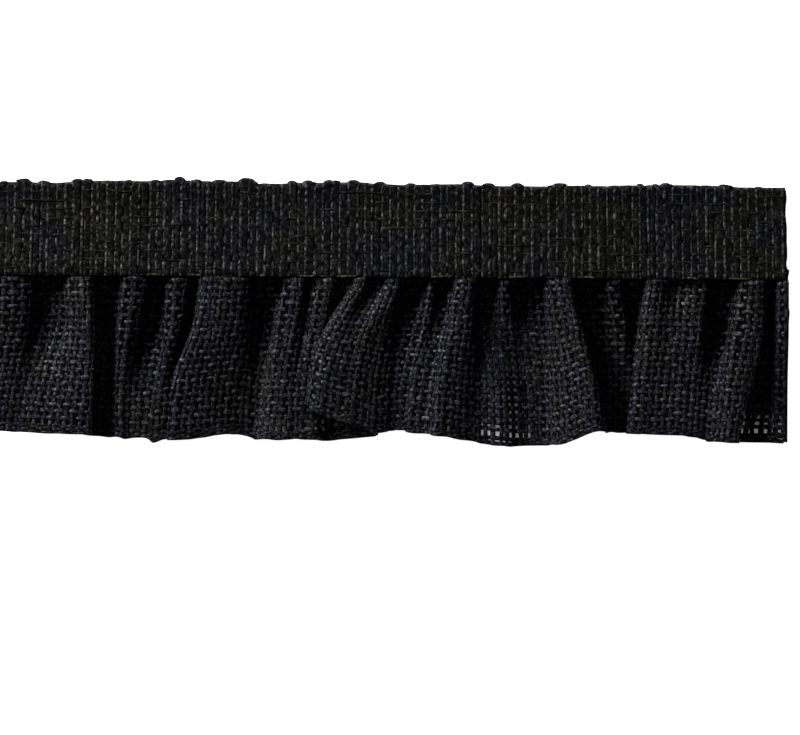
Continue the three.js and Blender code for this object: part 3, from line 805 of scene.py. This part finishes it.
def yarn_look(name, tones, specular, patch=(0.3, 0.3, 0.3), opens=False):
    """Spun yarn: dark, usual and bright tones in patches of a size in millimetres, hues that drift,
    shine in places, fine fibres and the slant of its twist."""
    material = bpy.data.materials.new(name)
    material.use_nodes = True
    nodes, links = material.node_tree.nodes, material.node_tree.links
    shader = nodes["Principled BSDF"]
    shader.inputs["Roughness"].default_value = YARN_ROUGHNESS
    place = nodes.new("ShaderNodeTexCoord")

    stretch = nodes.new("ShaderNodeMapping")
    stretch.inputs["Scale"].default_value = [1 / (size * MM) for size in patch]
    links.new(place.outputs["Object"], stretch.inputs["Vector"])
    patches = nodes.new("ShaderNodeTexNoise")
    patches.inputs["Scale"].default_value = 1
    patches.inputs["Detail"].default_value = 1
    links.new(stretch.outputs["Vector"], patches.inputs["Vector"])
    ramp = nodes.new("ShaderNodeValToRGB")
    stops = ramp.color_ramp.elements
    stops.new(TONE_STOPS[1])
    for stop, at, colour in zip(stops, TONE_STOPS, tones):
        stop.position = at
        stop.color = colour
    links.new(patches.outputs["Fac"], ramp.inputs["Fac"])

    drift = nodes.new("ShaderNodeTexNoise")
    drift.inputs["Scale"].default_value = 1 / (HUE_FIELD * MM)
    drift.inputs["Detail"].default_value = 2
    links.new(place.outputs["Object"], drift.inputs["Vector"])
    hues = nodes.new("ShaderNodeValToRGB")
    for stop, at, colour in zip(hues.color_ramp.elements, HUE_STOPS, (WARM, COOL)):
        stop.position = at
        stop.color = colour
    links.new(drift.outputs["Fac"], hues.inputs["Fac"])
    tint = nodes.new("ShaderNodeVectorMath")
    tint.operation = "MULTIPLY"
    links.new(ramp.outputs["Color"], tint.inputs[0])
    links.new(hues.outputs["Color"], tint.inputs[1])
    links.new(tint.outputs["Vector"], shader.inputs["Base Color"])

    shine = nodes.new("ShaderNodeMapRange")
    shine.inputs["From Min"].default_value = SHINE_RANGE[0]
    shine.inputs["From Max"].default_value = SHINE_RANGE[1]
    shine.inputs["To Max"].default_value = specular
    links.new(patches.outputs["Fac"], shine.inputs["Value"])
    links.new(shine.outputs["Result"], shader.inputs["Specular IOR Level"])

    slant = nodes.new("ShaderNodeMapping")
    slant.inputs["Scale"].default_value = (1, TWIST_SLANT, 1)
    links.new(place.outputs["UV"], slant.inputs["Vector"])
    plies = nodes.new("ShaderNodeTexWave")
    plies.bands_direction = "DIAGONAL"
    plies.inputs["Scale"].default_value = TWIST_SCALE
    plies.inputs["Distortion"].default_value = TWIST_DISTORTION
    links.new(slant.outputs["Vector"], plies.inputs["Vector"])
    fibres = nodes.new("ShaderNodeTexNoise")
    fibres.inputs["Scale"].default_value = 1 / (FIBRE_SIZE * MM)
    fibres.inputs["Detail"].default_value = 2
    links.new(place.outputs["Object"], fibres.inputs["Vector"])
    relief = nodes.new("ShaderNodeMath")
    relief.operation = "MULTIPLY_ADD"
    relief.inputs[1].default_value = TWIST_SHARE
    links.new(plies.outputs["Fac"], relief.inputs[0])
    links.new(fibres.outputs["Fac"], relief.inputs[2])
    lift = nodes.new("ShaderNodeBump")
    lift.inputs["Strength"].default_value = RELIEF_STRENGTH
    lift.inputs["Distance"].default_value = RELIEF_DEPTH * MM
    links.new(relief.outputs["Value"], lift.inputs["Height"])
    links.new(lift.outputs["Normal"], shader.inputs["Normal"])

    # Light passes both faces of the sheet, so each lets through the root of the share
    if opens:
        open_share = nodes.new("ShaderNodeAttribute")
        open_share.attribute_name = "openness"
        one_layer = nodes.new("ShaderNodeMath")
        one_layer.operation = "SQRT"
        links.new(open_share.outputs["Fac"], one_layer.inputs[0])
        solid = nodes.new("ShaderNodeMath")
        solid.operation = "SUBTRACT"
        solid.inputs[0].default_value = 1
        links.new(one_layer.outputs["Value"], solid.inputs[1])
        links.new(solid.outputs["Value"], shader.inputs["Alpha"])
    return material


def floor_look():
    material = bpy.data.materials.new("pale_floor")
    material.use_nodes = True
    shader = material.node_tree.nodes["Principled BSDF"]
    shader.inputs["Base Color"].default_value = (FLOOR_TONE, FLOOR_TONE, FLOOR_TONE, 1)
    shader.inputs["Roughness"].default_value = FLOOR_ROUGHNESS
    shader.inputs["Specular IOR Level"].default_value = 0.0
    shader.inputs["Emission Color"].default_value = (1, 1, 1, 1)
    shader.inputs["Emission Strength"].default_value = FLOOR_GLOW
    return material


# Camera: straight above, as wide as the photograph, turned a little so that the trim's right end
# lies lower in the picture. The two clip distances are metres.
VIEW_WIDTH = 84.64
VIEW_CENTRE = (2.0, -5.9)
VIEW_HEIGHT = 400.0
VIEW_LEVEL = 2.5
VIEW_ROLL = 0.0065
SENSOR = 36.0
CLIP_NEAR = 0.01
CLIP_FAR = 10

# Studio, in metres and watts but for the gap below the trim. Lights have a place, size and power.
KEY_LIGHT = ((-0.43, 0.34, 0.28), 0.28, 11.9)
TOP_LIGHT = ((0.1, -0.1, 0.7), 0.5, 0.5)
ROOM_LIGHT = 0.13
ROOM_TONE = 0.92
FLOOR_SIZE = 3
FLOOR_GAP = 0.02
FLOOR_TONE = 0.9
FLOOR_ROUGHNESS = 0.9
FLOOR_GLOW = 0.95


def add_camera():
    data = bpy.data.cameras.new("camera")
    data.sensor_width = SENSOR
    data.lens = SENSOR * VIEW_HEIGHT / VIEW_WIDTH
    data.clip_start = CLIP_NEAR
    data.clip_end = CLIP_FAR
    camera = bpy.data.objects.new("camera", data)
    camera.location = (VIEW_CENTRE[0] * MM, VIEW_CENTRE[1] * MM, (VIEW_HEIGHT + VIEW_LEVEL) * MM)
    camera.rotation_euler = (0, 0, VIEW_ROLL)
    bpy.context.collection.objects.link(camera)
    bpy.context.scene.camera = camera


def add_light(name, place, size, power):
    """A square soft light, in metres and watts, that faces the trim."""
    data = bpy.data.lights.new(name, "AREA")
    data.shape = "SQUARE"
    data.size = size
    data.energy = power
    light = bpy.data.objects.new(name, data)
    light.location = place
    back = np.array(place) / np.linalg.norm(place)
    light.rotation_euler = (math.acos(back[2]), 0, math.atan2(back[1], back[0]) + math.pi / 2)
    bpy.context.collection.objects.link(light)


def add_studio():
    """Raking light from the upper left, a faint one from above, a pale room and a pale floor."""
    add_light("key", *KEY_LIGHT)
    add_light("top", *TOP_LIGHT)
    world = bpy.data.worlds.new("studio")
    world.use_nodes = True
    nodes, links = world.node_tree.nodes, world.node_tree.links
    nodes["Background"].inputs["Strength"].default_value = ROOM_LIGHT
    seen = nodes.new("ShaderNodeBackground")
    seen.inputs["Color"].default_value = (ROOM_TONE, ROOM_TONE, ROOM_TONE, 1)
    path = nodes.new("ShaderNodeLightPath")
    choose = nodes.new("ShaderNodeMixShader")
    links.new(path.outputs["Is Camera Ray"], choose.inputs["Fac"])
    links.new(nodes["Background"].outputs["Background"], choose.inputs[1])
    links.new(seen.outputs["Background"], choose.inputs[2])
    links.new(choose.outputs["Shader"], nodes["World Output"].inputs["Surface"])
    bpy.context.scene.world = world
    bpy.context.scene.view_settings.view_transform = "Standard"
    bpy.ops.mesh.primitive_plane_add(size=FLOOR_SIZE, location=(0, 0, -FLOOR_GAP * MM))
    floor = bpy.context.object
    floor.name = "floor"
    floor.data.materials.append(floor_look())


add_camera()
cloth = Cloth()

# Dark, usual and bright tone of each yarn, its shine, and the size of its patches
# The warps' tones are lighter than the wefts': painted highlight where the warp floats catch the
# light
weft_yarn = yarn_look("weft_yarn", (tone(13, 13, 15), tone(28, 28, 31), tone(48, 48, 53)), 0.1,
                      patch=(0.3, 0.32, 0.3))
warp_yarn = yarn_look("warp_yarn", (tone(17, 17, 19), tone(35, 35, 39), tone(60, 60, 66)), 0.15,
                      patch=(0.38, 0.34, 0.34))
# The sheet's near-black tones are painted shade that darkens the weave's holes
hole_shade = yarn_look("painted_hole_shade", (tone(2, 2, 3), tone(5, 5, 6), tone(8, 8, 9)), 0.0, opens=True)
# The round ribs' tones are lighter than the flat ribs': painted highlight on their proud tops and
# painted shade on the sunk flat ribs between them
rib_yarn = yarn_look("rib_yarn", (tone(16, 16, 16), tone(32, 32, 33), tone(56, 56, 57)), 0.1,
                     patch=(0.3, 0.4, 0.4))
flat_yarn = yarn_look("flat_yarn", (tone(7, 7, 7), tone(13, 13, 14), tone(24, 24, 26)), 0.05,
                      patch=(0.4, 0.5, 0.4))
pick_yarn = yarn_look("pick_yarn", (tone(10, 10, 10), tone(22, 22, 22), tone(38, 38, 37)), 0.05,
                      patch=(0.6, 0.3, 0.3))
elastic_core = yarn_look("elastic_core", (tone(3, 3, 3), tone(5, 5, 5), tone(8, 8, 8)), 0.0)
thread = yarn_look("seam_thread", (tone(26, 26, 22), tone(42, 42, 35), tone(66, 66, 59)), 0.1)

sheet = hole_shade_sheet(cloth, hole_shade)
yarns = weave(cloth, weft_yarn, warp_yarn)
for piece in [sheet, *yarns]:
    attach(piece, "root")
    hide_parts("ruffle")

core = band_core(elastic_core)
round_places = -TRIM_END + (np.arange(RIB_COUNT) + 0.5) * RIB_PITCH
round_places = round_places + rng.normal(0, RIB_SHIFT, RIB_COUNT)
between = (round_places[1:] + round_places[:-1]) / 2
last_flat = TRIM_END - FLAT_RIB_FROM_END
flat_places = np.concatenate([[-last_flat], between, [last_flat]])
round_ribs = ribs("round_ribs", round_places, 0, RIB_WIDTH, RIB_THICKNESS,
                  RIB_DIP, RIB_RINGS, rib_yarn)
flat_ribs = ribs("flat_ribs", flat_places, FLAT_RIB_SINK, FLAT_RIB_WIDTH, FLAT_RIB_THICKNESS,
                 FLAT_RIB_DIP, FLAT_RIB_RINGS, flat_yarn)
# The edge cord takes the round ribs' lighter tones: painted light on the free edge, which faces the
# light
on_band = [round_ribs, flat_ribs, picks(pick_yarn), edge_cord(rib_yarn), seam_thread(thread)]
for piece in [core, *on_band]:
    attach(piece, "root")
    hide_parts("elastic_band")

add_studio()
